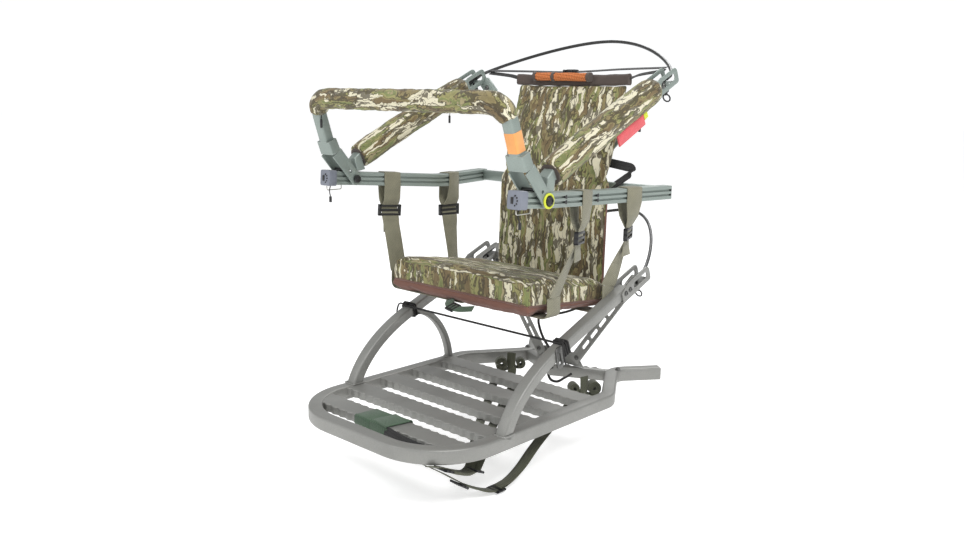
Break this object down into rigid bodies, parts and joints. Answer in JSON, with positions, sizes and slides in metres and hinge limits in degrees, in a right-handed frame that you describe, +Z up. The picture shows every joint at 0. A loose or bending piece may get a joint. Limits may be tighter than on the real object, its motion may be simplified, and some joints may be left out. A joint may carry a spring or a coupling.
{
  "type": "climbing tree stand",
  "caption": "Two-section climbing tree stand: a slatted foot platform with arms and a trunk cable, and a seat section with padded flip-over front bar, armrests, hung cushion and backrest.",
  "frame": {"origin": "in the plane of symmetry, on the underside of the foot platform's front tube, midway across that tube", "axes": "+Z up, +Y towards the tree trunk, +X to the right of a user who faces the trunk"},
  "size_m": [0.64, 0.9937, 0.9805],
  "materials": {
    "platform_paint": "satin powder coat",
    "rail_paint": "satin powder coat",
    "camo_fabric": "printed woven polyester",
    "webbing": "woven strap",
    "black_webbing": "woven strap",
    "green_webbing": "woven strap",
    "black_plastic": "satin",
    "cap_plastic": "satin",
    "cable_coat": "smooth vinyl",
    "cord": "braided",
    "bright_steel": "plated"
  },
  "bodies": {
    "platform": {"platform_frame": "platform_paint", "slat_1": "platform_paint", "slat_2": "platform_paint", "slat_3": "platform_paint", "slat_4": "platform_paint", "slat_5": "platform_paint", "platform_tree_bar": "platform_paint", "platform_arm_right": "platform_paint", "platform_arm_left": "platform_paint", "arm_brace_left": "platform_paint", "platform_bracket_right": "platform_paint", "platform_bracket_left": "platform_paint", "platform_v_brace_right": "platform_paint", "platform_v_brace_left": "platform_paint", "v_brace_plate": "platform_paint", "level_cord": "cord", "cord_clip": "bright_steel", "toe_strap": "green_webbing", "foot_strap_long": "webbing", "foot_strap_short": "webbing", "strap_bundle_right": "webbing", "strap_bundle_left": "webbing"},
    "platform_cable": {"platform_cable": "cable_coat"},
    "platform_lock_right": {"platform_lock_right": "black_plastic"},
    "platform_lock_left": {"platform_lock_left": "black_plastic"},
    "seat_section": {"seat_rail_right": "rail_paint", "seat_rail_left": "rail_paint", "rail_cap_right": "cap_plastic", "rail_cap_left": "cap_plastic", "seat_tree_bar": "rail_paint", "armrest_tube_right": "rail_paint", "armrest_tube_left": "rail_paint", "armrest_pad_right": "camo_fabric", "armrest_pad_left": "camo_fabric", "seat_bracket_right": "rail_paint", "seat_bracket_left": "rail_paint", "seat_v_brace_right": "rail_paint", "seat_v_brace_left": "rail_paint", "hinge_bolt_right": "black_plastic", "hinge_bolt_left": "black_plastic", "stop_rod_right": "black_plastic", "stop_rod_left": "black_plastic", "wire_bail_right": "bright_steel", "wire_bail_left": "bright_steel", "hang_strap_front_right": "webbing", "hang_strap_rear_right": "webbing", "hang_strap_front_left": "webbing", "hang_strap_rear_left": "webbing"},
    "front_bar": {"front_bar": "rail_paint", "front_bar_pad": "camo_fabric", "fork_outer_right": "rail_paint", "fork_outer_left": "rail_paint", "fork_inner_right": "rail_paint", "fork_inner_left": "rail_paint"},
    "seat": {"seat_cushion": "camo_fabric"},
    "backrest": {"backrest": "camo_fabric", "hem_strap": "black_webbing"},
    "seat_cable": {"seat_cable": "cable_coat"},
    "seat_lock_right": {"seat_lock_right": "black_plastic"},
    "seat_lock_left": {"seat_lock_left": "black_plastic"}
  },
  "joints": [
    {"name": "climb_lift", "type": "slide", "parent": "platform", "child": "seat_section", "axis": [0, 0, 1], "range_m": [0, 0.3]},
    {"name": "bar_flip", "type": "hinge", "parent": "seat_section", "child": "front_bar", "pos_m": [0, 0.223, 0.517], "axis": [1, 0, 0], "range_deg": [0, 150]},
    {"name": "seat_raise", "type": "slide", "parent": "seat_section", "child": "seat", "axis": [0, 0, 1], "range_m": [0, 0.165], "deforming": ["hang_strap_front_right", "hang_strap_rear_right", "hang_strap_front_left", "hang_strap_rear_left"]},
    {"name": "backrest_raise", "type": "slide", "parent": "seat_section", "child": "backrest", "axis": [0, 0, 1], "range_m": [0, 0.07]},
    {"name": "platform_cable_slide", "type": "slide", "parent": "platform", "child": "platform_cable", "axis": [0, 0.9272, 0.3746], "range_m": [-0.015, 0.045]},
    {"name": "seat_cable_slide", "type": "slide", "parent": "seat_section", "child": "seat_cable", "axis": [0, 0.9063, 0.4226], "range_m": [0, 0.045]},
    {"name": "platform_lock_right_pull", "type": "slide", "parent": "platform", "child": "platform_lock_right", "axis": [0, 0.3746, -0.9272], "range_m": [0, 0.012], "stiffness_N_per_m": 400, "springref_m": -0.004},
    {"name": "platform_lock_left_pull", "type": "slide", "parent": "platform", "child": "platform_lock_left", "axis": [0, 0.3746, -0.9272], "range_m": [0, 0.012], "stiffness_N_per_m": 400, "springref_m": -0.004},
    {"name": "seat_lock_right_pull", "type": "slide", "parent": "seat_section", "child": "seat_lock_right", "axis": [0, 0.4226, -0.9063], "range_m": [0, 0.012], "stiffness_N_per_m": 400, "springref_m": -0.004},
    {"name": "seat_lock_left_pull", "type": "slide", "parent": "seat_section", "child": "seat_lock_left", "axis": [0, 0.4226, -0.9063], "range_m": [0, 0.012], "stiffness_N_per_m": 400, "springref_m": -0.004}
  ]
}
